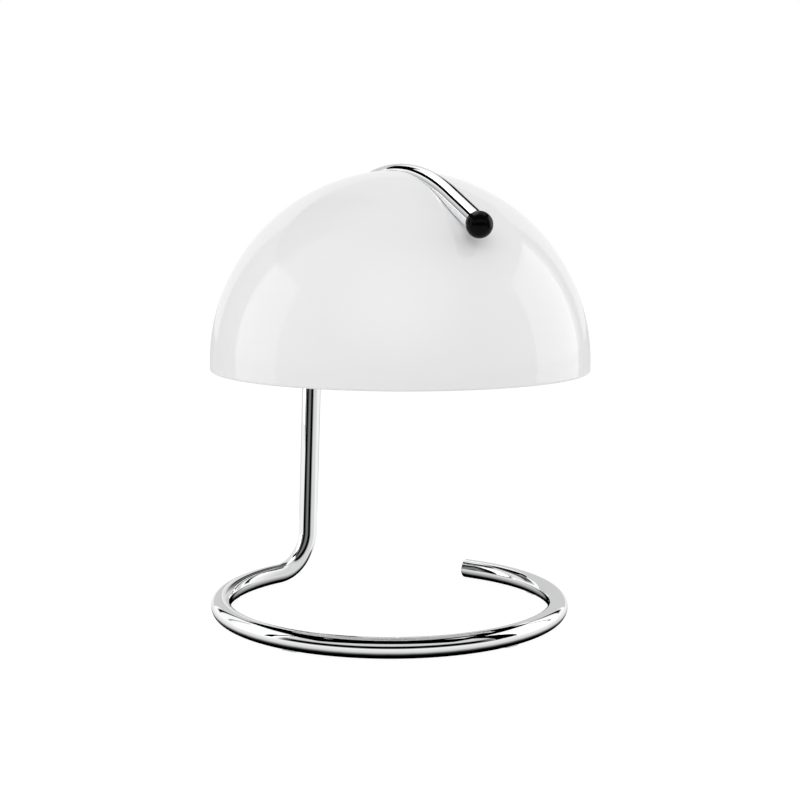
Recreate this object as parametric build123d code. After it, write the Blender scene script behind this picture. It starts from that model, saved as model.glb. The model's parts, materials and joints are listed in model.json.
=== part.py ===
"""Candle warmer lamp: an open ring, a stem and an arm bent from one chrome tube, a white
half-dome shade that hangs in a groove under the arm, and a twist-lock reflector lamp that
shines down on a candle.  Millimetres, +Z up, the origin on the table at the middle of the
lamp's footprint, the arm in the YZ plane and pointing to -Y."""

from build123d import *
import os
from math import cos, degrees, radians, sin, tan

# ---------------------------------------------------------------- driving dimensions

# bent tube
TUBE_R = 6.0                 # outer radius of the tube
TUBE_WALL = 1.0
PAD_LIFT = 0.4               # thin clear pads hold the ring off the table
RING_R = 102.7               # centre line of the base ring
RING_BACK = 13.0             # ring centre, behind the shade's axis
RING_BEND_ANGLE = 18.1       # where the ring turns up, from straight back towards -X
RING_FREE_ANGLE = 62.2       # where the ring ends, from straight back towards +X
RING_END_STRAIGHT = 10.0     # straight stretch at the open end, with the cord bush
STEM_REACH = 25.0            # from the ring's last point to the corner under the stem
CROWN_R = 150.5              # centre line of the arc over the crown
CROWN_HEIGHT = 265.5         # top of that arc, above the underside of the ring
CROWN_BACK = 2.0             # middle of that arc, behind the shade's axis
CROWN_BACK_ANGLE = 26.0      # how far the arc runs back, and the slope of the tube there
CROWN_FRONT_ANGLE = 24.4     # how far it runs forward, and the slope of its front end
ARM_BACK = 59.2              # from the arc's back end to the corner above the stem
ARM_BACK_BEND = 77.0         # radius of the bend above the stem
ARM_FRONT = 34.8             # from the arc's front end to the middle of the ball

# shade
SHADE_R = 112.5
SHADE_WALL = 3.0
SHADE_SKIRT = 5.0            # straight rim below the half sphere
SHADE_HEIGHT = 155.6         # middle of the sphere, above the underside of the ring
GROOVE_GAP = 0.15            # room at each side of the tube in its groove
GROOVE_LIP = 1.0             # rounding where the groove meets the outside
BOSS_R = 15.0
BOSS_DROP = 11.5             # flat underside of the boss, below the tube's centre line

# stack of parts on the nipple, from the boss down
NIPPLE_R = 4.0
NIPPLE_BORE_R = 2.8
NIPPLE_RISE = 3.0            # its top end, below the tube's centre line
GASKET_R, GASKET_T = 14.0, 1.2
WASHER_R, WASHER_T = 12.5, 1.5
NUT_FLATS, NUT_T = 13.0, 4.0
CUP_R, CUP_WALL, CUP_DEPTH = 18.5, 0.8, 33.0
BRACKET_WIDTH, BRACKET_T = 10.0, 1.2
BRACKET_REACH = 13.0         # outer face of each leg
BRACKET_DROP = 13.5          # from the plate's top to the underside of the feet
BRACKET_FOOT = 7.0
TAG_T, TOOTH_WASHER_T = 0.8, 0.8
NIPPLE_TAIL = 0.8            # what stands out below the last nut

# lamp holder and lamp
HOLDER_R, HOLDER_H = 14.0, 14.0
HOLDER_SCREW_SPAN = 9.5      # each screw, from the axis
PIN_CIRCLE_R = 5.0
PIN_NECK_R, PIN_HEAD_R = 1.4, 2.4
PIN_NECK_H, PIN_HEAD_H = 4.4, 3.2
PIN_GAP = 0.4
LAMP_TWIST = 40.0            # from locked to free
LAMP_GAP = 0.3               # between the holder and the lamp's base
LAMP_BASE_R, LAMP_BASE_H = 8.8, 15.0
LAMP_FRONT_R = 24.75
REFLECTOR_H = 31.0
GLASS_T = 1.5
BURNER_R, BURNER_H = 3.3, 20.0

# flex
FLEX_R = 2.5
CORE_R = 0.8
FLEX_STRIP_BACK = 22.0       # the sheath ends here, behind the shade's axis
GLAND_HEAD, GLAND_SPIGOT = 3.0, 5.5    # lengths of the cord bush, outside and inside the tube
GLAND_LIP, GLAND_BORE_R = 2.6, 3.1     # its narrow mouth, just wider than the cord

# ball
BALL_R = 7.5
BALL_FLAT = 4.6              # flat face towards the tube, from the ball's middle
BALL_GAP = 0.3
STUD_R, STUD_L = 2.0, 5.6
PLUG_L = 10.0
BUSH_R, BUSH_BORE_R, BUSH_L = 3.0, 2.05, 6.6

BORE_R = TUBE_R - TUBE_WALL
RING_Z = PAD_LIFT + TUBE_R
CROWN_Z = PAD_LIFT + CROWN_HEIGHT
SHADE_Z = PAD_LIFT + SHADE_HEIGHT


# ---------------------------------------------------------------- centre line of the tube

def corner(before, point, after, reach):
    """The arc that turns the corner at point, starting reach before it."""
    back = (before - point).normalized()
    ahead = (after - point).normalized()
    half_turn = radians(back.get_angle(ahead)) / 2
    radius = reach * tan(half_turn)
    middle = point + (back + ahead).normalized() * (radius / sin(half_turn) - radius)
    return ThreePointArc(point + back * reach, middle, point + ahead * reach)


def ring_point(angle, axis_y):
    """A point of the ring's centre line, by its angle from straight back towards -X."""
    turn = radians(angle)
    return Vector(-RING_R * sin(turn), axis_y + RING_BACK + RING_R * cos(turn), RING_Z)


def crown_point(angle, axis_y):
    """A point of the arc over the crown, by its angle from the top towards the front."""
    turn = radians(angle)
    return Vector(0, axis_y + CROWN_BACK - CROWN_R * sin(turn), CROWN_Z - CROWN_R * (1 - cos(turn)))


def tube_path(axis_y):
    """The edges of the centre line, in order, from the ring's open end to the ball's end."""
    free_turn = radians(RING_FREE_ANGLE)
    end_dir = Vector(-cos(free_turn), sin(free_turn), 0)
    ring_start = ring_point(-RING_FREE_ANGLE, axis_y)
    ring_stop = ring_point(RING_BEND_ANGLE, axis_y)
    ring_front = ring_point(180 - (RING_FREE_ANGLE - RING_BEND_ANGLE) / 2, axis_y)
    bend_turn = radians(RING_BEND_ANGLE)
    stem_foot = ring_stop + Vector(cos(bend_turn), sin(bend_turn), 0) * STEM_REACH

    arc_back = crown_point(-CROWN_BACK_ANGLE, axis_y)
    arc_front = crown_point(CROWN_FRONT_ANGLE, axis_y)
    slope_back, slope_front = radians(CROWN_BACK_ANGLE), radians(CROWN_FRONT_ANGLE)
    stem_head = arc_back + Vector(0, cos(slope_back), -sin(slope_back)) * ARM_BACK
    turn = radians((stem_foot - stem_head).get_angle(arc_back - stem_head)) / 2
    head_arc = corner(stem_foot, stem_head, arc_back, ARM_BACK_BEND / tan(turn))
    foot_arc = corner(ring_stop, stem_foot, stem_head, STEM_REACH)

    front_dir = Vector(0, -cos(slope_front), -sin(slope_front))
    tube_end = arc_front + front_dir * (ARM_FRONT - BALL_FLAT - BALL_GAP)
    return [
        Line(ring_start + end_dir * RING_END_STRAIGHT, ring_start),
        ThreePointArc(ring_start, ring_front, ring_stop),
        foot_arc,
        Line(foot_arc @ 1, head_arc @ 0),
        head_arc,
        Line(head_arc @ 1, arc_back),
        ThreePointArc(arc_back, crown_point(0, axis_y), arc_front),
        Line(arc_front, tube_end),
    ]


def back_reach(path):
    """How far back the tube's outside reaches."""
    return max(edge.bounding_box().max.Y for edge in path) + TUBE_R


# The shade's front edge and the tube's back are equally far from the origin.
AXIS_Y = (SHADE_R - back_reach(tube_path(0))) / 2
PATH = tube_path(AXIS_Y)
(END_LINE, RING_ARC, FOOT_ARC, STEM_LINE, HEAD_ARC, BACK_LINE, CROWN_ARC, FRONT_LINE) = PATH
FRONT_SLOPE = radians(CROWN_FRONT_ANGLE)
FRONT_DIR = Vector(0, -cos(FRONT_SLOPE), -sin(FRONT_SLOPE))
BALL_CENTRE = (FRONT_LINE @ 1) + FRONT_DIR * (BALL_FLAT + BALL_GAP)

# heights of the stack on the nipple, from the boss down
BOSS_Z = CROWN_Z - BOSS_DROP
GASKET_Z = BOSS_Z - GASKET_T
WASHER_Z = GASKET_Z - WASHER_T
SHADE_NUT_Z = WASHER_Z - NUT_T
CUP_PLATE_Z = SHADE_NUT_Z - CUP_WALL
BRACKET_Z = CUP_PLATE_Z - BRACKET_T
TAG_Z = BRACKET_Z - TAG_T
TOOTH_Z = TAG_Z - TOOTH_WASHER_T
BRACKET_NUT_Z = TOOTH_Z - NUT_T
NIPPLE_Z = BRACKET_NUT_Z - NIPPLE_TAIL
HOLDER_TOP = CUP_PLATE_Z - BRACKET_DROP
HOLDER_Z = HOLDER_TOP - HOLDER_H
LAMP_TOP = HOLDER_Z - LAMP_GAP
BASE_Z = LAMP_TOP - LAMP_BASE_H
LAMP_FRONT_Z = BASE_Z - REFLECTOR_H


# ---------------------------------------------------------------- helpers

def bar_along(edges, radius, bore=0.0):
    """A round bar or tube along straight and arc edges that meet in tangents."""
    bar = Part()
    for edge in edges:
        profile = Circle(radius)
        if bore:
            profile -= Circle(bore)
        tangent = edge % 0
        start = Plane(origin=edge @ 0, z_dir=tangent) * profile
        if edge.geom_type == GeomType.LINE:
            bar += extrude(start, amount=edge.length)
        else:
            centre = edge.arc_center
            normal = ((edge @ 0) - centre).cross(tangent)
            bar += revolve(start, Axis(centre, normal), degrees(edge.length / edge.radius))
    return bar


def upright(radius, low, high, x=0.0, y=AXIS_Y, bore=0.0):
    """An upright round bar, or a tube, between two heights."""
    profile = Circle(radius)
    if bore:
        profile -= Circle(bore)
    return extrude(Plane((x, y, low)) * profile, amount=high - low)


def on_axis(shape):
    """Moves a shape made on the Z axis to the shade's axis."""
    return Pos(0, AXIS_Y, 0) * shape


def turned(points_and_arcs):
    """A solid turned about Z from the edges of its half section in the XZ plane."""
    return revolve(make_face(points_and_arcs), Axis.Z)


def hex_nut(low):
    """An M8 fine nut on the nipple, its corners turned off at both faces."""
    middle = Pos(0, 0, low + NUT_T / 2)
    corner_r = NUT_FLATS / 2 / cos(radians(30))
    blank = middle * chamfer(Cylinder(corner_r, NUT_T).edges().filter_by(GeomType.CIRCLE), 0.6)
    prism = extrude(Plane((0, 0, low)) * RegularPolygon(corner_r, 6), amount=NUT_T)
    return on_axis((blank & prism) - middle * Cylinder(NIPPLE_R, NUT_T))


# ---------------------------------------------------------------- tube and its fittings

def make_tube_frame():
    """One chromed steel tube, with a hole for the nipple in its underside at the crown."""
    first = Line(END_LINE @ (GLAND_HEAD / RING_END_STRAIGHT), END_LINE @ 1)
    tube = bar_along([first] + PATH[1:], TUBE_R, BORE_R)
    return tube - upright(NIPPLE_R, CROWN_Z - 2 * TUBE_R, CROWN_Z)


def make_foot_pads():
    """Four clear pads, each hollowed to sit on the tube, with a flat underside."""
    pad_length, pad_width, pad_height = 10.0, 3.2, 1.2
    pads = Part()
    ring_bar = bar_along([RING_ARC], TUBE_R)
    for angle in (45, 120, 195, 270):
        spot = ring_point(angle, AXIS_Y)
        block = Pos(spot.X, spot.Y, pad_height / 2) * Rot(0, 0, angle) * Box(pad_length, pad_width, pad_height)
        block = fillet(block.edges().filter_by(Axis.Z), 1.4)
        pads += block - ring_bar
    return pads


def make_cord_gland():
    """A chromed bush in the ring's open end: a head as wide as the tube, rounded outside and
    narrowed to the cord at its mouth, and a spigot pressed into the tube."""
    start, inward = END_LINE @ 0, END_LINE % 0
    head_end, spigot_end = start + inward * GLAND_HEAD, start + inward * (GLAND_HEAD + GLAND_SPIGOT)
    head = bar_along([Line(start, head_end)], TUBE_R)
    head = fillet(head.edges().filter_by(GeomType.CIRCLE).sort_by_distance(start)[0], 0.5)
    spigot = bar_along([Line(head_end, spigot_end)], BORE_R - 0.02)
    mouth = bar_along([Line(start, head_end)], GLAND_BORE_R)
    room = bar_along([Line(start + inward * GLAND_LIP, spigot_end)], BORE_R - TUBE_WALL)
    return head + spigot - mouth - room


def make_inner_flex():
    """The sheathed flex, from behind the bush round the ring and up to just before the crown."""
    strip_angle = degrees((FLEX_STRIP_BACK - CROWN_BACK) / CROWN_R)
    first = Line(END_LINE @ ((GLAND_HEAD + GLAND_SPIGOT + 0.3) / RING_END_STRAIGHT), END_LINE @ 1)
    last = ThreePointArc(
        CROWN_ARC @ 0,
        crown_point(-(CROWN_BACK_ANGLE + strip_angle) / 2, AXIS_Y),
        crown_point(-strip_angle, AXIS_Y),
    )
    return bar_along([first, RING_ARC, FOOT_ARC, STEM_LINE, HEAD_ARC, BACK_LINE, last], FLEX_R)


def make_nipple():
    """A hollow threaded nipple, welded into the tube's underside."""
    return upright(NIPPLE_R, NIPPLE_Z, CROWN_Z - NIPPLE_RISE, bore=NIPPLE_BORE_R)


# ---------------------------------------------------------------- shade

def arm_envelope(half_width):
    """The arm with straight sides above its centre line, as wide as twice half_width."""
    arm = [BACK_LINE, CROWN_ARC, FRONT_LINE]
    above = Vector(0, 0, 2 * SHADE_WALL + 4 * TUBE_R)
    start, stop = BACK_LINE @ 0, FRONT_LINE @ 1
    outline = arm + [Line(stop, stop + above), Line(stop + above, start + above), Line(start + above, start)]
    slab = extrude(make_face(outline), amount=half_width, both=True)
    return bar_along(arm, half_width) + slab


def dome(radius, rim_z):
    """A solid half sphere on the shade's centre, with a straight rim down to rim_z."""
    outline = [
        Line((0, 0, rim_z), (radius, 0, rim_z)),
        Line((radius, 0, rim_z), (radius, 0, SHADE_Z)),
        CenterArc((0, 0, SHADE_Z), radius, 0, 90).rotate(Axis((0, 0, SHADE_Z), (1, 0, 0)), 90),
        Line((0, 0, SHADE_Z + radius), (0, 0, rim_z)),
    ]
    return on_axis(turned(outline))


def is_groove_lip(edge):
    """True for an edge that lies on the outside of the half sphere, near its crown."""
    middle = Vector(0, AXIS_Y, SHADE_Z)
    on_sphere = all(abs((edge @ t - middle).length - SHADE_R) < 0.02 for t in (0, 0.25, 0.5, 1))
    return on_sphere and edge.bounding_box().min.Z > SHADE_Z + SHADE_R / 2


def make_shade():
    """A moulded half dome.  A groove over its crown takes the arm, and a flat boss inside
    is drawn up against the tube by the nut on the nipple."""
    rim_z = SHADE_Z - SHADE_SKIRT
    full = dome(SHADE_R, rim_z)
    shell = full - dome(SHADE_R - SHADE_WALL, rim_z - 1)
    rim_edges = shell.edges().filter_by(GeomType.CIRCLE).sort_by(Axis.Z)[:2]
    shell = fillet(rim_edges, 1.3)
    rib = full & arm_envelope(TUBE_R + GROOVE_GAP + SHADE_WALL)
    boss = full & upright(BOSS_R, BOSS_Z, SHADE_Z + SHADE_R)
    shade = shell + rib + boss - arm_envelope(TUBE_R + GROOVE_GAP)
    shade = fillet(shade.edges().filter_by(is_groove_lip), GROOVE_LIP)
    return shade - upright(NIPPLE_R + 0.2, BOSS_Z - 1, CROWN_Z)


# ---------------------------------------------------------------- stack on the nipple

def make_socket_cup():
    """A drawn cup that hides the holder, open below."""
    cup_floor = CUP_PLATE_Z + CUP_WALL - CUP_DEPTH
    cup = upright(CUP_R, cup_floor, CUP_PLATE_Z + CUP_WALL)
    cup = fillet(cup.edges().sort_by(Axis.Z)[-1], 3.0)
    inside = upright(CUP_R - CUP_WALL, cup_floor, CUP_PLATE_Z)
    inside = fillet(inside.edges().sort_by(Axis.Z)[-1], 2.2)
    return cup - inside - upright(NIPPLE_R + 0.1, CUP_PLATE_Z, CUP_PLATE_Z + CUP_WALL)


def make_holder_bracket():
    """A bent strap: a plate under the cup, two legs down along Y, and two feet turned in."""
    drop_z = CUP_PLATE_Z - BRACKET_DROP
    outer = Pos(0, 0, (CUP_PLATE_Z + drop_z) / 2) * Box(BRACKET_WIDTH, 2 * BRACKET_REACH, BRACKET_DROP)
    outer = fillet(outer.edges().filter_by(Axis.X), 1.8)
    inner_height = BRACKET_DROP - 2 * BRACKET_T
    inner = Box(BRACKET_WIDTH, 2 * (BRACKET_REACH - BRACKET_T), inner_height)
    inner = fillet(inner.edges().filter_by(Axis.X), 0.6)
    inner = Pos(0, 0, (CUP_PLATE_Z + drop_z) / 2) * inner
    gap = Box(BRACKET_WIDTH, 2 * (BRACKET_REACH - BRACKET_FOOT), BRACKET_DROP)
    gap = Pos(0, 0, drop_z) * gap
    bracket = on_axis(outer - inner - gap)
    bracket -= upright(NIPPLE_R + 0.1, BRACKET_Z - 1, CUP_PLATE_Z + 1)
    for side in (-1, 1):
        bracket -= upright(1.5, drop_z - 1, drop_z + 2, y=AXIS_Y + side * HOLDER_SCREW_SPAN)
    return bracket


def make_earth_tag():
    """A ring tag on the nipple, its tail ending in a barrel that grips the earth core."""
    tail = 9.6
    ring = upright(7.0, TAG_Z, BRACKET_Z)
    tongue = on_axis(Pos(0, -tail / 2, (TAG_Z + BRACKET_Z) / 2) * Box(3.4, tail, TAG_T))
    barrel = upright(1.5, TAG_Z - 3.5, BRACKET_Z, y=AXIS_Y - tail)
    return ring + tongue + barrel - upright(NIPPLE_R + 0.1, TAG_Z - 1, BRACKET_Z + 1)


def make_tooth_washer():
    """A toothed lock washer between the tag and the nut."""
    washer = upright(6.6, TOOTH_Z, TAG_Z, bore=NIPPLE_R + 0.2)
    for spot in PolarLocations(6.9, 16):
        washer -= on_axis(Pos(0, 0, TOOTH_Z + TOOTH_WASHER_T / 2) * spot * Box(1.4, 0.9, 2))
    return washer


# ---------------------------------------------------------------- lamp holder

def pin_slots(width):
    """Both curved slots, from the locked pins at +X and -X to where the pins come free."""
    slots = Sketch()
    for start in (0, 180):
        slots += SlotArc(CenterArc((0, 0), PIN_CIRCLE_R, start - LAMP_TWIST, LAMP_TWIST), width)
    return slots


def make_lamp_holder():
    """A ceramic body with two keyhole slots below, a chamber for the pins' heads, a pocket
    for each contact, and two screw holes."""
    body = upright(HOLDER_R, HOLDER_Z, HOLDER_TOP)
    body = chamfer(body.edges(), 0.8)
    floor_z = LAMP_TOP + PIN_NECK_H - PIN_GAP
    neck_slots = extrude(Plane((0, 0, HOLDER_Z)) * pin_slots(2 * (PIN_NECK_R + PIN_GAP)), amount=HOLDER_H / 2)
    chamber_h = PIN_HEAD_H + 2 * PIN_GAP
    chamber = extrude(Plane((0, 0, floor_z)) * pin_slots(2 * (PIN_HEAD_R + PIN_GAP)), amount=chamber_h)
    body -= on_axis(neck_slots + chamber)
    free_turn = radians(-LAMP_TWIST)
    for side in (-1, 1):
        hole_x = side * PIN_CIRCLE_R * cos(free_turn)
        hole_y = AXIS_Y + side * PIN_CIRCLE_R * sin(free_turn)
        body -= upright(PIN_HEAD_R + 0.25, HOLDER_Z, floor_z + 1, x=hole_x, y=hole_y)
        pocket_h = HOLDER_TOP - floor_z
        body -= on_axis(Pos(side * 10.0, 0, floor_z + pocket_h / 2) * Box(4.6, 4.4, pocket_h))
        screw_y = AXIS_Y + side * HOLDER_SCREW_SPAN
        body -= upright(1.6, HOLDER_Z, HOLDER_TOP, y=screw_y)
        body -= upright(2.9, HOLDER_Z, HOLDER_Z + 3.0, y=screw_y)
    return body


def make_holder_contacts():
    """A brass terminal block in each pocket, its inner face beside the pin's head."""
    block_w, block_top = 4.2, HOLDER_TOP - 2.0
    low = LAMP_TOP + PIN_NECK_H - PIN_GAP
    contacts = Part()
    for side in (-1, 1):
        block = Pos(side * 10.0, 0, (low + block_top) / 2) * Box(block_w, block_w, block_top - low)
        contacts += on_axis(chamfer(block.edges().filter_by(Axis.Z), 0.4))
    return contacts


def make_holder_screws():
    """Two cheese-head screws, up through the holder into the bracket's feet."""
    screws = Part()
    for side in (-1, 1):
        y = AXIS_Y + side * HOLDER_SCREW_SPAN
        head = upright(2.7, HOLDER_Z + 0.5, HOLDER_Z + 3.0, y=y)
        slot = Pos(0, y, HOLDER_Z + 0.5) * Box(0.8, 6, 1.8)
        screws += head - slot + upright(1.48, HOLDER_Z + 3.0, HOLDER_TOP + BRACKET_T + 0.4, y=y)
    return screws


# ---------------------------------------------------------------- cores of the flex

def core_bar(points, radii):
    """One insulated core along straight runs with rounded corners."""
    return bar_along(FilletPolyline(*points, radius=radii).edges(), CORE_R)


def make_line_core(side):
    """A core from the sheath's end, down the nipple and out to the contact on its side."""
    x, y = side * 1.2, AXIS_Y + 0.7
    run_z = HOLDER_TOP + 3.0
    sheath_y = AXIS_Y + FLEX_STRIP_BACK
    top_z = CROWN_Z - 0.7
    contact_x = side * 10.0
    points = [
        (x, sheath_y - 0.2, top_z - 0.9),
        (x, y + 9.0, top_z),
        (x, y, top_z),
        (x, y, run_z),
        (contact_x, AXIS_Y, run_z),
        (contact_x, AXIS_Y, HOLDER_TOP - 2.0),
    ]
    return core_bar(points, [30.0, 3.4, 2.2, 2.2])


def make_earth_core():
    """The earth core, over the other two, down the nipple and up into the tag's barrel."""
    y = AXIS_Y - 1.3
    run_z = HOLDER_TOP + 3.0
    sheath_y = AXIS_Y + FLEX_STRIP_BACK
    top_z = CROWN_Z + 1.2
    barrel_y = AXIS_Y - 9.6
    points = [
        (0, sheath_y - 0.2, top_z - 1.1),
        (0, y + 11.0, top_z),
        (0, y, top_z),
        (0, y, run_z),
        (0, barrel_y, run_z),
        (0, barrel_y, TAG_Z - 3.5),
    ]
    return core_bar(points, [30.0, 3.4, 2.2, 2.2])


# ---------------------------------------------------------------- lamp

def make_lamp_base():
    """The lamp's ceramic base: a cylinder with two flats, flared to the glass below."""
    flare_z = BASE_Z + 4.0
    outline = [
        Line((0, 0, BASE_Z), (LAMP_BASE_R + 2.4, 0, BASE_Z)),
        Line((LAMP_BASE_R + 2.4, 0, BASE_Z), (LAMP_BASE_R, 0, flare_z)),
        Line((LAMP_BASE_R, 0, flare_z), (LAMP_BASE_R, 0, LAMP_TOP - 0.8)),
        Line((LAMP_BASE_R, 0, LAMP_TOP - 0.8), (LAMP_BASE_R - 0.8, 0, LAMP_TOP)),
        Line((LAMP_BASE_R - 0.8, 0, LAMP_TOP), (0, 0, LAMP_TOP)),
        Line((0, 0, LAMP_TOP), (0, 0, BASE_Z)),
    ]
    base = on_axis(turned(outline))
    flat_at, flat_cut = 7.6, 6.0
    for side in (-1, 1):
        cut_y = side * (flat_at + flat_cut / 2)
        cut_height = LAMP_TOP - flare_z
        base -= on_axis(Pos(0, cut_y, flare_z + cut_height / 2) * Box(30, flat_cut, cut_height))
    return base


def make_lamp_pins():
    """Two headed pins that the holder's slots catch."""
    pins = Part()
    for side in (-1, 1):
        x = side * PIN_CIRCLE_R
        neck_top = LAMP_TOP + PIN_NECK_H
        pins += upright(PIN_NECK_R, LAMP_TOP, neck_top, x=x)
        head = upright(PIN_HEAD_R, neck_top, neck_top + PIN_HEAD_H, x=x)
        pins += fillet(head.edges().sort_by(Axis.Z)[-1], 0.5)
    return pins


def make_lamp_reflector():
    """The lamp's glass bowl, with a hole in its neck for the burner."""
    neck_r, neck_h, rim_h = 10.4, 3.0, 4.0
    hole_r = BURNER_R + 0.1
    rim_top = LAMP_FRONT_Z + rim_h
    bowl_mid = (18.6, 0, BASE_Z - 11.5)
    outer = [
        Line((hole_r, 0, BASE_Z), (neck_r, 0, BASE_Z)),
        Line((neck_r, 0, BASE_Z), (neck_r, 0, BASE_Z - neck_h)),
        ThreePointArc((neck_r, 0, BASE_Z - neck_h), bowl_mid, (LAMP_FRONT_R, 0, rim_top)),
        Line((LAMP_FRONT_R, 0, rim_top), (LAMP_FRONT_R, 0, LAMP_FRONT_Z)),
        Line((LAMP_FRONT_R, 0, LAMP_FRONT_Z), (LAMP_FRONT_R - GLASS_T, 0, LAMP_FRONT_Z)),
    ]
    inner_mid = (bowl_mid[0] - GLASS_T * 0.8, 0, bowl_mid[2] - GLASS_T * 0.75)
    neck_floor = BASE_Z - neck_h - GLASS_T
    inner = [
        Line((LAMP_FRONT_R - GLASS_T, 0, LAMP_FRONT_Z), (LAMP_FRONT_R - GLASS_T, 0, rim_top)),
        ThreePointArc((LAMP_FRONT_R - GLASS_T, 0, rim_top), inner_mid, (neck_r - 1.0, 0, neck_floor)),
        Line((neck_r - 1.0, 0, neck_floor), (hole_r, 0, neck_floor)),
        Line((hole_r, 0, neck_floor), (hole_r, 0, BASE_Z)),
    ]
    return on_axis(turned(outer + inner))


def make_lamp_lens():
    """The clear front glass, set inside the bowl's rim."""
    lens = upright(LAMP_FRONT_R - GLASS_T - 0.05, LAMP_FRONT_Z + 0.4, LAMP_FRONT_Z + 0.4 + GLASS_T)
    return chamfer(lens.edges(), 0.3)


def make_lamp_burner():
    """The halogen capsule in the neck, round at its tip."""
    burner = upright(BURNER_R, BASE_Z - BURNER_H, BASE_Z)
    return fillet(burner.edges().sort_by(Axis.Z)[0], BURNER_R - 0.3)


# ---------------------------------------------------------------- ball

def front_bar(radius, start, stop, bore=0.0):
    """A bar on the arm's front axis, by distances from the ball's middle."""
    line = Line(BALL_CENTRE + FRONT_DIR * start, BALL_CENTRE + FRONT_DIR * stop)
    return bar_along([line], radius, bore)


def make_tube_plug():
    """A turned plug pressed into the tube's end, with a threaded stud for the ball."""
    tube_end = -(BALL_FLAT + BALL_GAP)
    return front_bar(BORE_R - 0.02, tube_end - PLUG_L, tube_end) + front_bar(STUD_R, tube_end, tube_end + STUD_L)


def make_ball_bush():
    """The ball's threaded brass insert."""
    return front_bar(BUSH_R, -BALL_FLAT, -BALL_FLAT + BUSH_L, bore=BUSH_BORE_R)


def make_end_ball():
    """A black ball with a flat towards the tube and a blind hole for its insert."""
    ball = Pos(*BALL_CENTRE) * Sphere(BALL_R)
    ball -= front_bar(2 * BALL_R, -3 * BALL_R, -BALL_FLAT)
    return ball - front_bar(BUSH_R, -BALL_R, -BALL_FLAT + BUSH_L)


# ---------------------------------------------------------------- every node

NODES = {
    "tube_frame": make_tube_frame,
    "foot_pads": make_foot_pads,
    "cord_gland": make_cord_gland,
    "inner_flex": make_inner_flex,
    "nipple": make_nipple,
    "shade": make_shade,
    "shade_gasket": lambda: upright(GASKET_R, GASKET_Z, BOSS_Z, bore=NIPPLE_R + 0.1),
    "shade_washer": lambda: upright(WASHER_R, WASHER_Z, GASKET_Z, bore=NIPPLE_R + 0.1),
    "shade_nut": lambda: hex_nut(SHADE_NUT_Z),
    "socket_cup": make_socket_cup,
    "holder_bracket": make_holder_bracket,
    "earth_tag": make_earth_tag,
    "tooth_washer": make_tooth_washer,
    "bracket_nut": lambda: hex_nut(BRACKET_NUT_Z),
    "lamp_holder": make_lamp_holder,
    "holder_contacts": make_holder_contacts,
    "holder_screws": make_holder_screws,
    "live_core": lambda: make_line_core(-1),
    "neutral_core": lambda: make_line_core(1),
    "earth_core": make_earth_core,
    "lamp_base": make_lamp_base,
    "lamp_pins": make_lamp_pins,
    "lamp_reflector": make_lamp_reflector,
    "lamp_lens": make_lamp_lens,
    "lamp_burner": make_lamp_burner,
    "tube_plug": make_tube_plug,
    "ball_bush": make_ball_bush,
    "end_ball": make_end_ball,
}


def build():
    """Writes one STEP file for each node."""
    os.makedirs("parts", exist_ok=True)
    for name, make in NODES.items():
        part = make()
        part.label = name
        export_step(part, f"parts/{name}.step")
        print(f"{name}: {len(part.solids())} solid(s), {part.volume:.0f} mm3")


if __name__ == "__main__":
    build()
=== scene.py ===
"""A candle warmer lamp, dressed piece by piece in the order it is put together: the bent chrome
tube, its fittings and flex, the white half-dome shade, the lamp's fixing under it, the
reflector lamp, and the black ball that closes the arm.  Metres, +Z up, the arm towards -Y."""

import json
import bpy
from math import cos, degrees, pi, radians, sin, tan
from mathutils import Matrix, Vector


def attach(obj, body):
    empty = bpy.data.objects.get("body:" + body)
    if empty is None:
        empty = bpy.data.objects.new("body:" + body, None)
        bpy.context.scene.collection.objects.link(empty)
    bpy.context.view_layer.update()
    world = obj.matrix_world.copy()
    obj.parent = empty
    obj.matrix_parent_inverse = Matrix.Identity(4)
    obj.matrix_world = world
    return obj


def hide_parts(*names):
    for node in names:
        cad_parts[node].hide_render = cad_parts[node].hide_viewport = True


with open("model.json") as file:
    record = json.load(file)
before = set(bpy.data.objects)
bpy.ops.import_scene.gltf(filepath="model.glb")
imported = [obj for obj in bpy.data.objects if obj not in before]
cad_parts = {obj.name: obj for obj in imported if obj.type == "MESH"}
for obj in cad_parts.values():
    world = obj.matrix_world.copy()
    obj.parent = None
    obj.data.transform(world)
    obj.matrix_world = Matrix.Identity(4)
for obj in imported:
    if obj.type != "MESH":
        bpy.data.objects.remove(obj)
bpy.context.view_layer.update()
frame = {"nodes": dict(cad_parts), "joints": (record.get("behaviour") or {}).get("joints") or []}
nodes = frame["nodes"]


# ---------------------------------------------------------------- the camera
# A plain lens, low and a little to the left of the arm, held level with the shade's crown.
# The lens looks down by about seven degrees, so the ring shows as a flat oval.

eye = Vector((-0.4412, -0.8545, 0.2539))
look_turn, look_down, look_roll = radians(27.5), 0.1265, 0.0036
ahead = Vector((sin(look_turn) * cos(look_down), cos(look_turn) * cos(look_down), -sin(look_down)))
side = ahead.cross(Vector((0, 0, 1))).normalized()
up = side.cross(ahead)
side, up = side * cos(look_roll) + up * sin(look_roll), up * cos(look_roll) - side * sin(look_roll)
lens = bpy.data.cameras.new("lens")
lens.lens, lens.sensor_width = 72.64, 36.0
lens.clip_start, lens.clip_end = 0.01, 100.0
camera = bpy.data.objects.new("lens", lens)
camera.matrix_world = Matrix.Translation(eye) @ Matrix((side, up, -ahead)).transposed().to_4x4()
bpy.context.scene.collection.objects.link(camera)
bpy.context.scene.camera = camera
bpy.context.scene.view_settings.view_transform = "Standard"


# ---------------------------------------------------------------- the white room
# A white table top that runs out of sight under a white sky, which lights the lamp from all
# sides.  The table keeps a faint shadow of the lamp.  Seen from below it is clear, so that the
# inside of the shade shows.

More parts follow.
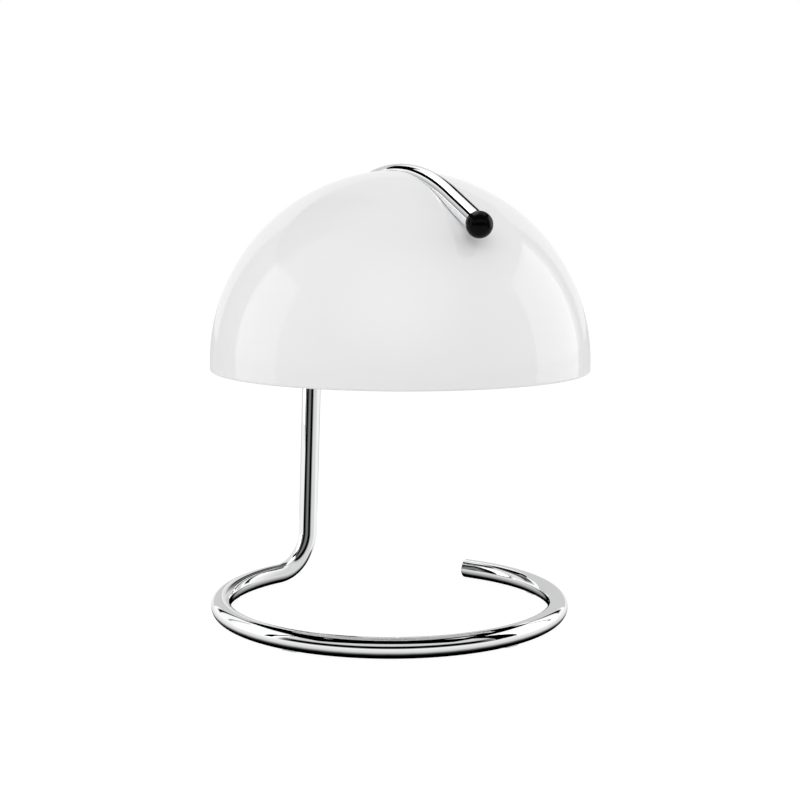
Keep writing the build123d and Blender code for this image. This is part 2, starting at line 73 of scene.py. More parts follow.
def wire(tree, source, target):
    tree.links.new(source, target)


def new_node(tree, kind, **values):
    """A shader node with its plain sockets or properties set."""
    node = tree.nodes.new(kind)
    for key, value in values.items():
        if hasattr(node, key):
            setattr(node, key, value)
        else:
            node.inputs[key.replace("_", " ")].default_value = value
    return node


def bare_material(name):
    """A material with nothing in it but its output."""
    made = bpy.data.materials.new(name)
    made.use_nodes = True
    made.node_tree.nodes.clear()
    return made, made.node_tree, new_node(made.node_tree, "ShaderNodeOutputMaterial")


def worked(tree, operation, first, second):
    """One sum on two values, each an output or a number."""
    node = new_node(tree, "ShaderNodeMath", operation=operation)
    for value, socket in zip((first, second), node.inputs):
        if isinstance(value, (int, float)):
            socket.default_value = value
        else:
            wire(tree, value, socket)
    return node.outputs[0]


ROOM_LIGHT, ROOM_SEEN = 0.8, 1.0            # how bright the sky shines, and how bright it looks
sky = bpy.data.worlds.new("white_room")
sky.use_nodes = True
tree = sky.node_tree
tree.nodes.clear()
path = new_node(tree, "ShaderNodeLightPath")
seen = worked(tree, "MAXIMUM", path.outputs["Is Camera Ray"], path.outputs["Is Glossy Ray"])
seen = worked(tree, "MAXIMUM", seen, path.outputs["Is Transmission Ray"])
strength = new_node(tree, "ShaderNodeMapRange", To_Min=ROOM_LIGHT, To_Max=ROOM_SEEN)
backdrop = new_node(tree, "ShaderNodeBackground", Color=(1, 1, 1, 1))
sky_out = new_node(tree, "ShaderNodeOutputWorld")
wire(tree, seen, strength.inputs["Value"])
wire(tree, strength.outputs[0], backdrop.inputs["Strength"])
wire(tree, backdrop.outputs[0], sky_out.inputs["Surface"])
bpy.context.scene.world = sky

TABLE_REACH, TABLE_DROP = 6.0, 0.0001
TABLE_WHITE = 0.86
TABLE_GLOW, GLOW_IN_MIRRORS, GLOW_SHARE = 1.08, 0.90, 0.86

table_mesh = bpy.data.meshes.new("table_top")
table_corners = [(x * TABLE_REACH, y * TABLE_REACH, -TABLE_DROP)
                 for x, y in ((-1, -1), (1, -1), (1, 1), (-1, 1))]
table_mesh.from_pydata(table_corners, [], [(0, 1, 2, 3)])
table_top = bpy.data.objects.new("table_top", table_mesh)
bpy.context.scene.collection.objects.link(table_top)
table_white, tree, table_out = bare_material("table_white")
path = new_node(tree, "ShaderNodeLightPath")
paper = new_node(tree, "ShaderNodeBsdfDiffuse", Color=(TABLE_WHITE, TABLE_WHITE, TABLE_WHITE, 1))
strength = new_node(tree, "ShaderNodeMapRange", To_Min=TABLE_GLOW, To_Max=GLOW_IN_MIRRORS)
glow = new_node(tree, "ShaderNodeEmission")
share = worked(tree, "MULTIPLY", path.outputs["Is Camera Ray"], GLOW_SHARE)
blend = new_node(tree, "ShaderNodeMixShader")
wire(tree, path.outputs["Is Singular Ray"], strength.inputs["Value"])
wire(tree, strength.outputs[0], glow.inputs["Strength"])
wire(tree, worked(tree, "MAXIMUM", share, path.outputs["Is Singular Ray"]), blend.inputs[0])
wire(tree, paper.outputs[0], blend.inputs[1])
wire(tree, glow.outputs[0], blend.inputs[2])
clear_below = new_node(tree, "ShaderNodeMixShader")
wire(tree, new_node(tree, "ShaderNodeNewGeometry").outputs["Backfacing"], clear_below.inputs[0])
wire(tree, blend.outputs[0], clear_below.inputs[1])
wire(tree, new_node(tree, "ShaderNodeBsdfTransparent").outputs[0], clear_below.inputs[2])
wire(tree, clear_below.outputs[0], table_out.inputs["Surface"])
table_mesh.materials.append(table_white)


# ---------------------------------------------------------------- soft boxes and cards
# Two tall soft boxes stand left and right of the lamp and a third hangs in front of it.
# Black and grey cards, seen only in the polished tube and ball, give them their dark lines.
# Dimmer sheets, seen only in the shade's shine, end its two bright bands behind and above.

def around(turn, rise, distance):
    """A place round the origin: turn to the right of the lens, rise above the table top."""
    a, e = radians(turn) - look_turn, radians(rise)
    return Vector((sin(a) * cos(e), -cos(a) * cos(e), sin(e))) * distance


def spot(right, front, height):
    """A place by how far it is to the right, towards the lens and up."""
    return around(90, 0, right) + around(0, 0, front) + Vector((0, 0, height))


def soft_box(name, turn, rise, lift, distance, wide, high, glow):
    """A soft box seen from the lamp at a turn and a rise, and then lifted without tilting it."""
    light = bpy.data.lights.new(name, "AREA")
    light.shape, light.size, light.size_y = "RECTANGLE", wide, high
    light.energy = glow * pi * wide * high
    box = bpy.data.objects.new(name, light)
    box.location = around(turn, rise, distance) + Vector((0, 0, lift))
    box.rotation_mode = "QUATERNION"
    box.rotation_quaternion = (-around(turn, rise, 1)).to_track_quat("-Z", "Y")
    box.visible_camera = False
    bpy.context.scene.collection.objects.link(box)
    return box


soft_box("soft_box_left", turn=-92, rise=0, lift=0.575, distance=1.3, wide=0.84, high=1.15, glow=0.75)
soft_box("soft_box_right", turn=106, rise=0, lift=0.575, distance=1.3, wide=1.05, high=1.15, glow=0.85)
front_box = soft_box("soft_box_front", turn=-8, rise=34, lift=0.1, distance=1.7, wide=1.1, high=1.1,
                     glow=0.85)
front_box.visible_glossy = False


def board(name, grid, paint):
    """A sheet through rows of places that only reflections see, its spread from 0 to 1."""
    rows, row = len(grid), len(grid[0])
    faces = [(i * row + j, i * row + j + 1, (i + 1) * row + j + 1, (i + 1) * row + j)
             for i in range(rows - 1) for j in range(row - 1)]
    mesh = bpy.data.meshes.new(name)
    mesh.from_pydata([place for line in grid for place in line], [], faces)
    layer = mesh.uv_layers.new(name="spread")
    for loop, mark in zip(mesh.loops, layer.data):
        mark.uv = (loop.vertex_index // row / (rows - 1), loop.vertex_index % row / (row - 1))
    mesh.materials.append(paint)
    sheet = bpy.data.objects.new(name, mesh)
    bpy.context.scene.collection.objects.link(sheet)
    sheet.visible_camera = sheet.visible_diffuse = sheet.visible_shadow = False
    sheet.visible_transmission = sheet.visible_volume_scatter = False


def lit_paint(name, mirrors):
    """A glowing paint with its tree and its glow.  It shows either in mirrors alone, on its
    front and not by way of a dull surface, or in all other shine."""
    paint, tree, out = bare_material(name)
    path = new_node(tree, "ShaderNodeLightPath")
    face = new_node(tree, "ShaderNodeEmission", Strength=1.0)
    nothing = new_node(tree, "ShaderNodeBsdfTransparent")
    pick = new_node(tree, "ShaderNodeMixShader")
    if mirrors:
        behind = new_node(tree, "ShaderNodeNewGeometry").outputs["Backfacing"]
        straight = worked(tree, "LESS_THAN", path.outputs["Diffuse Depth"], 0.5)
        shows = worked(tree, "MULTIPLY", path.outputs["Is Singular Ray"], straight)
        shows = worked(tree, "SUBTRACT", shows, worked(tree, "MULTIPLY", shows, behind))
    else:
        shows = worked(tree, "SUBTRACT", path.outputs["Is Glossy Ray"], path.outputs["Is Singular Ray"])
    wire(tree, shows, pick.inputs[0])
    wire(tree, nothing.outputs[0], pick.inputs[1])
    wire(tree, face.outputs[0], pick.inputs[2])
    wire(tree, pick.outputs[0], out.inputs["Surface"])
    return paint, tree, face


def greys(tree, source, stops):
    """A ramp of greys; stops are places from 0 to 1 and their greys."""
    ramp = new_node(tree, "ShaderNodeValToRGB")
    marks = ramp.color_ramp.elements
    while len(marks) < len(stops):
        marks.new(0.5)
    for mark, (place, grey) in zip(marks, stops):
        mark.position = place
        mark.color = (grey, grey, grey, 1)
    wire(tree, source, ramp.inputs["Fac"])
    return ramp.outputs["Color"]


BLACK, WHITE = [(0, 0), (1, 0)], [(0, 1), (1, 1)]


def card(name, grid, across=BLACK, along=BLACK, glow=1.0, mirrors=True):
    """A card as light as the lighter of its two ramps, so it can fade at its edges."""
    paint, tree, face = lit_paint(name, mirrors)
    face.inputs["Strength"].default_value = glow
    place = new_node(tree, "ShaderNodeTexCoord")
    apart = new_node(tree, "ShaderNodeSeparateXYZ")
    lighter = new_node(tree, "ShaderNodeMix", data_type="RGBA", blend_type="LIGHTEN")
    lighter.inputs["Factor"].default_value = 1.0
    wire(tree, place.outputs["UV"], apart.inputs[0])
    wire(tree, greys(tree, apart.outputs["X"], across), lighter.inputs[6])
    wire(tree, greys(tree, apart.outputs["Y"], along), lighter.inputs[7])
    wire(tree, lighter.outputs[2], face.inputs["Color"])
    board(name, grid, paint)


def curved(name, middle, low, high, across, along, mirrors=True):
    """A card swept round a middle.  Low and high are the reach and height of its edges, across
    gives turns and their greys, and along gives greys from the low edge to the high one."""
    def spread(stops):
        first, last = stops[0][0], stops[-1][0]
        return [((place - first) / (last - first), grey) for place, grey in stops]
    first, last = across[0][0], across[-1][0]
    turns, steps = 48, 4
    grid = []
    for i in range(turns + 1):
        way = around(first + (last - first) * i / turns, 0, 1)
        grid.append([middle + way * (low[0] + (high[0] - low[0]) * j / steps)
                     + Vector((0, 0, low[1] + (high[1] - low[1]) * j / steps)) for j in range(steps + 1)])
    card(name, grid, spread(across), spread(along), mirrors=mirrors)


curved("card_front", spot(0, -0.6, 0), (1.8, 0), (1.8, 2.4),
       [(-53, 1), (-49, 0.15), (-44, 0), (40, 0), (48, 0.2), (54, 1)],
       [(0, 0.9), (0.064, 0.47), (0.15, 0.03), (0.22, 0), (0.56, 0), (0.64, 0.3), (0.76, 0.68), (1.4, 0.68),
        (1.5, 0.6), (2.4, 0.6)])
curved("card_behind", Vector((0, 0, 0)), (1.25, 0), (1.25, 0.9), [(145, 0.6), (215, 0.6)],
       [(0, 0.62), (0.9, 0.62)])

FRAME_HEIGHT = 0.83
for name, corners in (
        ("frame_front", ((-0.78, 0.10), (-0.78, 0.69), (0.70, 0.10), (0.70, 0.69))),
        ("frame_left", ((-0.68, -0.80), (-0.68, 0.10), (-0.365, -0.80), (-0.365, 0.10))),
        ("frame_right", ((0.45, -0.80), (0.45, 0.10), (0.70, -0.80), (0.70, 0.10))),
        ("frame_far_left", ((-0.85, -1.05), (-0.66, -0.60), (-0.36, -1.05), (-0.19, -0.58))),
        ("frame_far_right", ((0.12, -1.10), (0.12, -0.46), (0.45, -1.10), (0.45, -0.46)))):
    places = [spot(x, y, FRAME_HEIGHT) for x, y in corners]
    card(name, [places[2:], places[:2]])

FLAG_FOOT, FLAG_TOP = 0.04, 0.85
for name, edges in (
        ("flag_left", ((-0.95, 0.18), (-0.34, 0.144))),
        ("flag_right", ((0.47, 0.24), (0.50, 0.10)))):
    card(name, [[spot(x, y, z) for z in (FLAG_FOOT, FLAG_TOP)] for x, y in edges])

STREAK_LOW, STREAK_HIGH = 8, 38
for name, turn, lean, wide, distance, dark in (
        ("streak_left", -138, -9, 9, 0.82, 0), ("streak_left_thin", -118, -5, 5, 0.9, 0.35),
        ("streak_right", 140, 8, 9, 1.02, 0), ("streak_right_thin", 120, 5, 5, 0.9, 0.35)):
    ends = ((STREAK_LOW, turn - lean / 2), (STREAK_HIGH, turn + lean / 2))
    card(name, [[around(middle + edge * wide / 2, rise, distance) for rise, middle in ends]
                for edge in (-1, 1)],
         [(0, 1), (0.25, dark), (0.75, dark), (1, 1)], [(0, 1), (0.15, dark), (0.7, dark), (1, 0.4)])

RING_BACK = 0.013
lamp_joint = next(joint for joint in frame["joints"] if joint["name"] == "lamp_twist")
shade_axis = Vector((0, lamp_joint["pos_m"][1], 0))
ring_place = shade_axis + Vector((0, RING_BACK, 0))
# A ring of painted shadow round the ring's foot, seen only in mirrors: black right under the tube, greying
# out to the table's white, in place of the table's own shade there.
curved("painted_ring_shadow", ring_place - Vector((0, 0, TABLE_DROP / 2)), (0, 0), (0.18, 0),
       [(-180, 0), (180, 0)],
       [(0, 0.9), (0.080, 0.70), (0.088, 0.53), (0.094, 0.26), (0.0965, 0), (0.1092, 0), (0.1108, 0.07),
        (0.1128, 0.35), (0.1155, 0.65), (0.121, 0.76), (0.140, 0.86), (0.18, 0.9)])
curved("card_under_rim", ring_place, (0.122, 0.12), (0.0985, 0.12), [(-75, 0), (75, 0)], BLACK)

stem_place, STEM_CARD_REACH = Vector((-0.005, 0.113, 0)), 0.06
curved("card_by_stem", stem_place, (STEM_CARD_REACH, 0), (STEM_CARD_REACH, 0.20),
       [(-58, 1), (-53, 0), (-34, 0), (-26, 0.06), (-10, 0.23), (2, 0.07), (8, 0), (26, 0), (35, 0.56),
        (46, 0.70), (64, 0.66), (84, 0.86), (104, 1)],
       [(0, 0.6), (0.008, 0.1), (0.014, 0), (0.17, 0), (0.20, 0.8)])
curved("card_behind_stem", stem_place, (STEM_CARD_REACH, 0.03), (STEM_CARD_REACH, 0.20),
       [(148, 1), (152, 0), (170, 0), (178, 0.3), (186, 0.1), (192, 0), (204, 0), (212, 0.7), (240, 0.8),
        (252, 1)],
       [(0, 0.8), (0.04, 0), (0.14, 0), (0.17, 0.8)])

ARM_CARD_HIGH = 0.075
card("card_by_arm", [[spot(x, y, z + rise) for rise in (0, ARM_CARD_HIGH)]
                     for x, y, z in ((-0.114, -0.077, 0.266), (-0.024, 0.091, 0.224))],
     BLACK, [(0, 0.54), (0.14, 0.48), (0.28, 0.34), (0.43, 0.27), (0.58, 0.39), (0.75, 0.6), (0.92, 0.68),
             (1, 0.68)])

# Two white panels, seen only in mirrors, paint the ball's highlights, one up to the left and one at its
# right.
card("ball_highlight_above", [[spot(x, y, 0.82) for y in (-0.42, 0.0)] for x in (0.0, -0.31)], WHITE, WHITE, 3.0)
card("ball_highlight_right", [[around(turn, 0, 1.2) + Vector((0, 0, z)) for z in (0.1, 0.9)] for turn in (100, 119)],
     WHITE, WHITE, 3.5)

shade_middle = Vector((0, 0, 0.156))
DIM_REACH, DIM_LOW, DIM_HIGH, DIM_GREY = 1.6, -0.15, 1.11, 0.65
curved("dim_above", shade_middle, (DIM_REACH, DIM_HIGH), (0.35, 1.75),
       [(98, 1), (108, 0.75), (150, 0.75), (180, 0.92), (196, 0.85), (212, 0.42), (252, 0.38), (262, 1)],
       [(0, 0.3), (0.5, 0.4), (1, 1)], mirrors=False)
for name, first_turn, last_turn in (("dim_left", -140, -112), ("dim_right", 133, 142)):
    curved(name, shade_middle, (DIM_REACH, DIM_LOW), (DIM_REACH, DIM_HIGH),
           [(first_turn, DIM_GREY), (last_turn, DIM_GREY)], BLACK, mirrors=False)

# a panel up in front of the shade, seen only in its shine, paints the soft highlight on its face and glows
# most in its middle
GLOW_RISE, GLOW_DISTANCE, GLOW_REACH = 42, 1.3, 1.2
GLOW_AT_EDGE, GLOW_IN_MIDDLE = 1.0, 2.2
paint, tree, face = lit_paint("shade_highlight_front", mirrors=False)
place = new_node(tree, "ShaderNodeTexCoord")
centred = new_node(tree, "ShaderNodeVectorMath", operation="MULTIPLY_ADD")
centred.inputs[1].default_value = (2, 2, 0)
centred.inputs[2].default_value = (-1, -1, 0)
fading = new_node(tree, "ShaderNodeTexGradient", gradient_type="SPHERICAL")
strength = new_node(tree, "ShaderNodeMapRange", interpolation_type="SMOOTHSTEP", To_Min=GLOW_AT_EDGE,
                    To_Max=GLOW_IN_MIDDLE)
wire(tree, place.outputs["UV"], centred.inputs[0])
wire(tree, centred.outputs[0], fading.inputs["Vector"])
wire(tree, fading.outputs["Fac"], strength.inputs["Value"])
wire(tree, strength.outputs[0], face.inputs["Strength"])
middle = around(0, GLOW_RISE, GLOW_DISTANCE)
sideways, upwards = around(90, 0, GLOW_REACH), around(0, GLOW_RISE + 90, GLOW_REACH)
board("shade_highlight_front", [[middle + sideways * x + upwards * y for y in (-1, 1)] for x in (-1, 1)], paint)


# ---------------------------------------------------------------- bent tube
# One 12 mm steel tube, polished and chromed: the open ring that stands on the table, the
# stem, and the arm over the crown.  It is hollow, with a 1 mm wall, and bent in one piece.

TUBE_R, TUBE_WALL, PAD_LIFT = 0.006, 0.001, 0.0004
RING_R = 0.1027
RING_FREE, RING_BEND = 62.2, 18.1           # the angles from straight back where the ring ends
BUSH_HEAD, END_STRAIGHT = 0.003, 0.010
STEM_REACH = 0.025                          # from the ring to the corner under the stem
HEAD_BEND, HEAD_REACH = 0.077, 0.0592       # the bend above the stem, its corner to the crown's arc
CROWN_R, CROWN_TOP, CROWN_BACK = 0.1505, 0.2655, 0.002
CROWN_BACK_ANGLE, CROWN_FRONT_ANGLE = 26.0, 24.4
FRONT_STRAIGHT = 0.0299

ring_middle = ring_place + Vector((0, 0, PAD_LIFT + TUBE_R))
crown_middle = shade_axis + Vector((0, CROWN_BACK, PAD_LIFT + CROWN_TOP - CROWN_R))


def ring_point(angle):
    """A point of the ring's middle line, by its angle from straight back towards -X."""
    turn = radians(angle)
    return ring_middle + Vector((-sin(turn), cos(turn), 0)) * RING_R


def crown_way(angle):
    """The way from the crown's middle out to its arc, by its angle from the top towards the front."""
    turn = radians(angle)
    return Vector((0, -sin(turn), cos(turn)))


def half_corner(before, corner, after):
    """Half the angle between the two straights that meet in a corner."""
    return (before - corner).angle(after - corner) / 2


def bend(before, corner, after, radius):
    """Points along the tangent arc that turns a corner."""
    back, on = (before - corner).normalized(), (after - corner).normalized()
    half = half_corner(before, corner, after)
    middle = corner + (back + on).normalized() * (radius / sin(half))
    first, last = corner + back * (radius / tan(half)) - middle, corner + on * (radius / tan(half)) - middle
    sweep = first.angle(last)
    count = int(degrees(sweep))
    return [middle + (first * sin(sweep * (1 - i / count)) + last * sin(sweep * i / count)) / sin(sweep)
            for i in range(count + 1)]


def pipe(name, line, rings):
    """A closed mesh round a line: rings gives the step along the line and the radius of each loop."""
    sides = 72
    points, faces = [], []
    tangent = (line[1] - line[0]).normalized()
    across = tangent.cross(Vector((0, 0, 1)) if abs(tangent.z) < 0.9 else Vector((1, 0, 0))).normalized()
    frames = []
    for i, place in enumerate(line):
        before, after = line[max(i - 1, 0)], line[min(i + 1, len(line) - 1)]
        tangent = (after - before).normalized()
        across = (across - tangent * across.dot(tangent)).normalized()
        frames.append((place, across, tangent.cross(across)))
    for index, radius in rings:
        place, one, two = frames[index]
        for k in range(sides):
            turn = 2 * pi * k / sides
            points.append(place + (one * cos(turn) + two * sin(turn)) * radius)
    for i in range(len(rings)):
        j = (i + 1) % len(rings)
        for k in range(sides):
            n = (k + 1) % sides
            faces.append((i * sides + k, i * sides + n, j * sides + n, j * sides + k))
    mesh = bpy.data.meshes.new(name)
    mesh.from_pydata(points, [], faces)
    mesh.validate()
    mesh.shade_smooth()
    mesh.set_sharp_from_angle(angle=radians(40))
    piece = bpy.data.objects.new(name, mesh)
    bpy.context.scene.collection.objects.link(piece)
    return piece


RING_STEPS = 287
ring_sweep = 360 - RING_FREE - RING_BEND
ring_line = [ring_point(-RING_FREE - ring_sweep * i / RING_STEPS) for i in range(RING_STEPS + 1)]
free_turn, foot_turn = radians(RING_FREE), radians(RING_BEND)
free_end = ring_line[0] + Vector((-cos(free_turn), sin(free_turn), 0)) * (END_STRAIGHT - BUSH_HEAD)
stem_foot = ring_line[-1] + Vector((cos(foot_turn), sin(foot_turn), 0)) * STEM_REACH

back_slope = crown_way(90 - CROWN_BACK_ANGLE)
front_slope = crown_way(90 + CROWN_FRONT_ANGLE)
crown_half = (CROWN_BACK_ANGLE + CROWN_FRONT_ANGLE) / 2
stem_head = crown_middle + crown_way(-CROWN_BACK_ANGLE) * CROWN_R - back_slope * HEAD_REACH
crown_reach = CROWN_R / cos(radians(crown_half))
crown_corner = crown_middle + crown_way(CROWN_FRONT_ANGLE - crown_half) * crown_reach
arm_tip = crown_middle + crown_way(CROWN_FRONT_ANGLE) * CROWN_R + front_slope * FRONT_STRAIGHT

foot_bend = STEM_REACH * tan(half_corner(ring_line[-1], stem_foot, stem_head))
tube_line = [free_end] + ring_line
tube_line += bend(ring_line[-1], stem_foot, stem_head, foot_bend)[1:]
tube_line += bend(stem_foot, stem_head, crown_corner, HEAD_BEND)
tube_line += bend(stem_head, crown_corner, arm_tip, CROWN_R)
tube_line.append(arm_tip)
last = len(tube_line) - 1
outside = [(i, TUBE_R) for i in range(last + 1)]
inside = [(i, TUBE_R - TUBE_WALL) for i in range(last, -1, -1)]
chromed_tube = pipe("chromed_tube", tube_line, outside + inside)


def effect(name, output, kind, **inputs):
    """The start of a shared effect: a node group with its inputs' usual values and one output."""
    group = bpy.data.node_groups.new(name, "ShaderNodeTree")
    for key, value in inputs.items():
        socket_type = "NodeSocketColor" if isinstance(value, tuple) else "NodeSocketFloat"
        socket = group.interface.new_socket(key.replace("_", " "), in_out="INPUT", socket_type=socket_type)
        socket.default_value = value
    group.interface.new_socket(output, in_out="OUTPUT", socket_type=kind)
    return group, new_node(group, "NodeGroupInput"), new_node(group, "NodeGroupOutput")


def polish_clouds():
    """A faint cloudy change between two colours, as polishing and handling leave."""
    group, given, made = effect("polish_clouds", "Color", "NodeSocketColor", Scale=60.0,
                                Light=(1.0, 1.0, 1.0, 1.0), Dark=(0.95, 0.95, 0.95, 1.0))
    place = new_node(group, "ShaderNodeTexCoord")
    cloud = new_node(group, "ShaderNodeTexNoise", Detail=3.0)
    spread = new_node(group, "ShaderNodeMapRange", From_Min=0.35, From_Max=0.65)
    tint = new_node(group, "ShaderNodeMix", data_type="RGBA")
    wire(group, place.outputs["Object"], cloud.inputs["Vector"])
    wire(group, given.outputs["Scale"], cloud.inputs["Scale"])
    wire(group, cloud.outputs[0], spread.inputs["Value"])
    wire(group, spread.outputs[0], tint.inputs["Factor"])
    wire(group, given.outputs["Dark"], tint.inputs[6])
    wire(group, given.outputs["Light"], tint.inputs[7])
    wire(group, tint.outputs[2], made.inputs["Color"])
    return group


CLOUDS = polish_clouds()


def finish(name, colour, **plain):
    """A new material of one Principled shader, its even values set on its own sockets."""
    made = bpy.data.materials.new(name)
    made.use_nodes = True
    shader = made.node_tree.nodes["Principled BSDF"]
    shader.inputs["Base Color"].default_value = (*colour, 1.0)
    for key, value in plain.items():
        shader.inputs[key.replace("_", " ")].default_value = value
    return made, made.node_tree, shader


def clouded(tree, shader, scale, light, dark):
    """Gives a shader a colour that clouds between two."""
    clouds = new_node(tree, "ShaderNodeGroup", node_tree=CLOUDS)
    clouds.inputs["Scale"].default_value = scale
    clouds.inputs["Light"].default_value = (*light, 1.0)
    clouds.inputs["Dark"].default_value = (*dark, 1.0)
    wire(tree, clouds.outputs["Color"], shader.inputs["Base Color"])


chrome, tree, shader = finish("chrome", (0.965, 0.97, 0.98), Metallic=1.0, Roughness=0.0)
clouded(tree, shader, 60.0, (0.975, 0.98, 0.99), (0.95, 0.955, 0.965))
chromed_tube.data.materials.append(chrome)
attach(chromed_tube, "frame")
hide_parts("tube_frame")


# ---------------------------------------------------------------- bush in the open end
# A turned and chromed bush pressed into the ring's open end.  Its head is as wide as the
# tube and narrows to the flex at its mouth, so the tube looks cut off square.

def dress(node, made):
    """Puts a material on a CAD node in place of its own."""
    for place in nodes[node].material_slots:
        place.material = made


dress("cord_gland", chrome)


# ---------------------------------------------------------------- pads under the ring
# Four thin pads of milky silicone that keep the ring off the table.  They are moulded to the
# tube's underside and stuck on.

def wipe_marks():
    """Cloudy traces of wiping and handling, as a roughness between Low and High."""
    group, given, made = effect("wipe_marks", "Roughness", "NodeSocketFloat", Scale=40.0, Low=0.02,
                                High=0.06)
    place = new_node(group, "ShaderNodeTexCoord")
    cloud = new_node(group, "ShaderNodeTexNoise", Detail=3.0, Distortion=0.6)
    spread = new_node(group, "ShaderNodeMapRange", interpolation_type="SMOOTHSTEP", From_Min=0.35,
                      From_Max=0.75)
    wire(group, place.outputs["Object"], cloud.inputs["Vector"])
    wire(group, given.outputs["Scale"], cloud.inputs["Scale"])
    wire(group, cloud.outputs[0], spread.inputs["Value"])
    wire(group, given.outputs["Low"], spread.inputs["To Min"])
    wire(group, given.outputs["High"], spread.inputs["To Max"])
    wire(group, spread.outputs[0], made.inputs["Roughness"])
    return group


WIPED = wipe_marks()


def wiped(tree, shader, scale, low, high):
    """Gives a shader the roughness of wipe marks."""
    marks = new_node(tree, "ShaderNodeGroup", node_tree=WIPED)
    marks.inputs["Scale"].default_value = scale
    marks.inputs["Low"].default_value = low
    marks.inputs["High"].default_value = high
    wire(tree, marks.outputs["Roughness"], shader.inputs["Roughness"])


pad_clear, tree, shader = finish("pad_clear", (0.93, 0.95, 0.96), Transmission_Weight=0.25, IOR=1.41)
wiped(tree, shader, 160.0, 0.18, 0.32)
dress("foot_pads", pad_clear)


# ---------------------------------------------------------------- flex and its cores
# White round flex inside the tube.  At the crown its sheath ends, and the brown, blue and
# green-and-yellow cores go down the nipple to the lamp holder and the earth tag.

GRAIN_FINER = 9.0


def moulded_skin():
    """The faint unevenness of a moulded or coated surface, as a height."""
    group, given, made = effect("moulded_skin", "Height", "NodeSocketFloat", Scale=200.0, Fine_Share=0.3)
    place = new_node(group, "ShaderNodeTexCoord")
    waves = new_node(group, "ShaderNodeTexNoise", Detail=1.0, Roughness=0.4)
    grain = new_node(group, "ShaderNodeTexNoise", Detail=4.0)
    both = new_node(group, "ShaderNodeMix", data_type="FLOAT")
    wire(group, place.outputs["Object"], waves.inputs["Vector"])
    wire(group, place.outputs["Object"], grain.inputs["Vector"])
    wire(group, given.outputs["Scale"], waves.inputs["Scale"])
    wire(group, worked(group, "MULTIPLY", given.outputs["Scale"], GRAIN_FINER), grain.inputs["Scale"])
    wire(group, given.outputs["Fine Share"], both.inputs["Factor"])
    wire(group, waves.outputs[0], both.inputs["A"])
    wire(group, grain.outputs[0], both.inputs["B"])
    wire(group, both.outputs["Result"], made.inputs["Height"])
    return group


MOULDED = moulded_skin()


def skinned(tree, shader, scale, fine, depth):
    """Gives a shader the bumps of a moulded skin, depth in metres."""
    skin = new_node(tree, "ShaderNodeGroup", node_tree=MOULDED)
    skin.inputs["Scale"].default_value = scale
    skin.inputs["Fine Share"].default_value = fine
    bump = new_node(tree, "ShaderNodeBump", Distance=depth)
    wire(tree, skin.outputs["Height"], bump.inputs["Height"])
    wire(tree, bump.outputs["Normal"], shader.inputs["Normal"])


sheath, tree, shader = finish("sheath_white", (0.85, 0.85, 0.84))
wiped(tree, shader, 90.0, 0.4, 0.55)
skinned(tree, shader, 900.0, 0.5, 0.00004)
dress("inner_flex", sheath)

for node, colour in (("live_core", (0.27, 0.13, 0.07)), ("neutral_core", (0.10, 0.24, 0.55))):
    insulation, tree, shader = finish(node + "_silicone", colour)
    wiped(tree, shader, 120.0, 0.35, 0.5)
    skinned(tree, shader, 1200.0, 0.4, 0.00003)
    dress(node, insulation)

EARTH_MEAN, EARTH_GREEN, EARTH_YELLOW = (0.25, 0.5, 0.12), (0.12, 0.42, 0.08), (0.82, 0.66, 0.05)
earth_stripes, tree, shader = finish("earth_core_silicone", EARTH_MEAN)
place = new_node(tree, "ShaderNodeTexCoord")
apart = new_node(tree, "ShaderNodeSeparateXYZ")
halves = new_node(tree, "ShaderNodeMix", data_type="RGBA")
halves.inputs[6].default_value = (*EARTH_GREEN, 1.0)
halves.inputs[7].default_value = (*EARTH_YELLOW, 1.0)
wire(tree, place.outputs["Object"], apart.inputs[0])
wire(tree, worked(tree, "GREATER_THAN", apart.outputs["X"], 0.0), halves.inputs["Factor"])
wire(tree, halves.outputs[2], shader.inputs["Base Color"])
wiped(tree, shader, 120.0, 0.35, 0.5)
dress("earth_core", earth_stripes)


# ---------------------------------------------------------------- nipple
# A hollow nipple, threaded M8 fine and zinc plated, welded into the underside of the tube.
# The shade, the cup and the holder's strap all hang on it.

ZINC = (0.62, 0.62, 0.60)
zinc, tree, shader = finish("zinc_plate", ZINC, Metallic=1.0)
wiped(tree, shader, 150.0, 0.26, 0.42)
skinned(tree, shader, 700.0, 0.6, 0.00002)

THREAD_PITCH, THREAD_DEPTH = 0.001, 0.0005
threaded, tree, shader = finish("zinc_thread", ZINC, Metallic=1.0)
wiped(tree, shader, 150.0, 0.28, 0.45)
place = new_node(tree, "ShaderNodeTexCoord")
thread = new_node(tree, "ShaderNodeTexWave", wave_type="BANDS", bands_direction="Z", Scale=1.0)
turns = new_node(tree, "ShaderNodeVectorMath", operation="SCALE", Scale=pi / 10 / THREAD_PITCH)
cut = new_node(tree, "ShaderNodeBump", Distance=THREAD_DEPTH)
wire(tree, place.outputs["Object"], turns.inputs[0])
wire(tree, turns.outputs[0], thread.inputs["Vector"])
wire(tree, thread.outputs["Fac"], cut.inputs["Height"])
wire(tree, cut.outputs["Normal"], shader.inputs["Normal"])
dress("nipple", threaded)


# ---------------------------------------------------------------- shade
# A half dome of glossy opal white plastic, moulded in one piece, with a short straight rim.  A
# groove over its crown holds the arm, and a flat boss inside is clamped up against the tube.

opal, tree, shader = finish("opal_white", (0.86, 0.86, 0.86), IOR=1.49)
wiped(tree, shader, 14.0, 0.045, 0.075)
skinned(tree, shader, 30.0, 0.0, 0.00002)
dress("shade", opal)


# ---------------------------------------------------------------- gasket, washer and nut
# A white silicone gasket, and a washer and a thin hexagon nut of zinc-plated steel.  They sit
# on the nipple under the boss and draw it up to the tube.

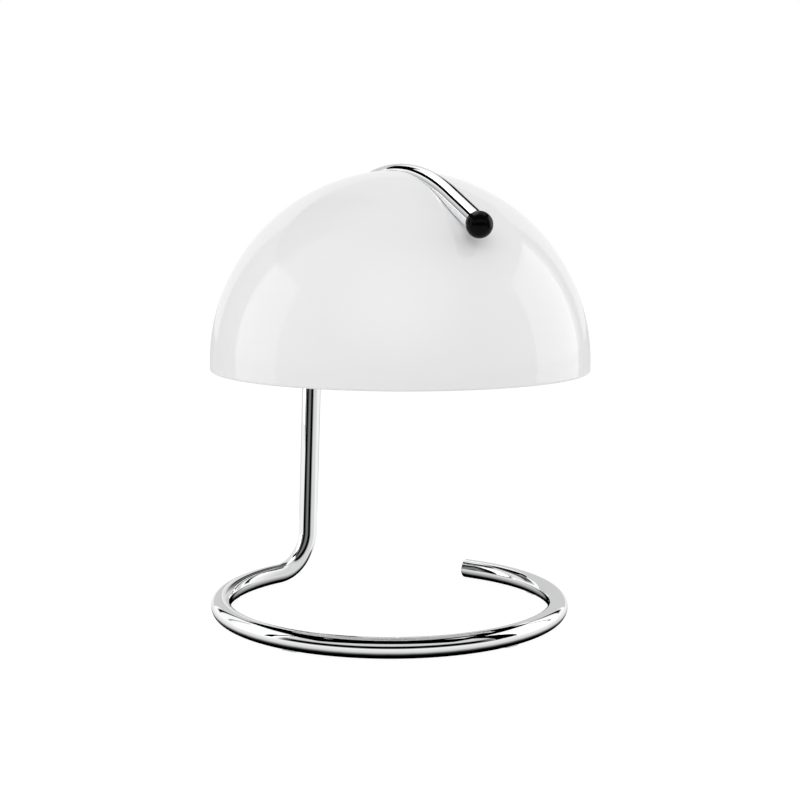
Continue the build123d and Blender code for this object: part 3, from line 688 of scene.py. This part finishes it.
gasket_white, tree, shader = finish("gasket_silicone", (0.86, 0.86, 0.85))
wiped(tree, shader, 120.0, 0.45, 0.6)
skinned(tree, shader, 800.0, 0.5, 0.00003)
dress("shade_gasket", gasket_white)
dress("shade_washer", zinc)
dress("shade_nut", zinc)


# ---------------------------------------------------------------- cup round the holder
# A cup drawn from thin steel and stoved white, open below, that hides the holder.  The nipple
# goes through its plate, and the strap under it holds it up.

enamel, tree, shader = finish("white_enamel", (0.84, 0.84, 0.83))
wiped(tree, shader, 60.0, 0.12, 0.2)
skinned(tree, shader, 350.0, 0.1, 0.00003)
dress("socket_cup", enamel)


# ---------------------------------------------------------------- strap, earth tag and lock nut
# A strap bent from plated steel strip carries the holder.  Under its plate the brass earth
# tag, a toothed washer and a second nut sit on the nipple.

brass, tree, shader = finish("plain_brass", (0.78, 0.62, 0.30), Metallic=1.0)
wiped(tree, shader, 200.0, 0.2, 0.38)
dress("holder_bracket", zinc)
dress("earth_tag", brass)
dress("tooth_washer", zinc)
dress("bracket_nut", zinc)


# ---------------------------------------------------------------- lamp holder
# A pressed steatite body with two curved keyhole slots, brass terminal blocks in its
# pockets, and two cheese-head screws up into the strap's feet.

steatite, tree, shader = finish("steatite", (0.80, 0.775, 0.72))
wiped(tree, shader, 120.0, 0.5, 0.68)
skinned(tree, shader, 900.0, 0.7, 0.00005)
dress("lamp_holder", steatite)
dress("holder_contacts", brass)
dress("holder_screws", zinc)


# ---------------------------------------------------------------- reflector lamp
# A twist-lock halogen lamp: a steatite base with two headed pins, a glass bowl silvered
# inside, a quartz capsule in its neck and a clear front glass.

dress("lamp_base", steatite)
dress("lamp_pins", brass)
front_glass, tree, shader = finish("front_glass", (0.97, 0.98, 0.98), Transmission_Weight=1.0, IOR=1.5)
wiped(tree, shader, 80.0, 0.0, 0.03)
dress("lamp_lens", front_glass)
quartz, tree, shader = finish("quartz", (0.98, 0.98, 0.98), Transmission_Weight=1.0, IOR=1.46)
wiped(tree, shader, 300.0, 0.0, 0.02)
dress("lamp_burner", quartz)
silvered, tree, shader = finish("silvered_glass", (0.86, 0.87, 0.88), Metallic=1.0)
wiped(tree, shader, 120.0, 0.06, 0.14)
skinned(tree, shader, 260.0, 0.0, 0.0006)
dress("lamp_reflector", silvered)


# ---------------------------------------------------------------- plug and ball
# A turned steel plug closes the arm.  The black ball screws on to its stud by a brass
# bush, with a flat face towards the tube.

dress("tube_plug", zinc)
dress("ball_bush", brass)
ball_black, tree, shader = finish("ball_black", (0.002, 0.002, 0.0023), IOR=1.5, Specular_IOR_Level=0.06,
                                  Roughness=0.0)
clouded(tree, shader, 220.0, (0.003, 0.003, 0.0034), (0.0015, 0.0015, 0.0017))
dress("end_ball", ball_black)
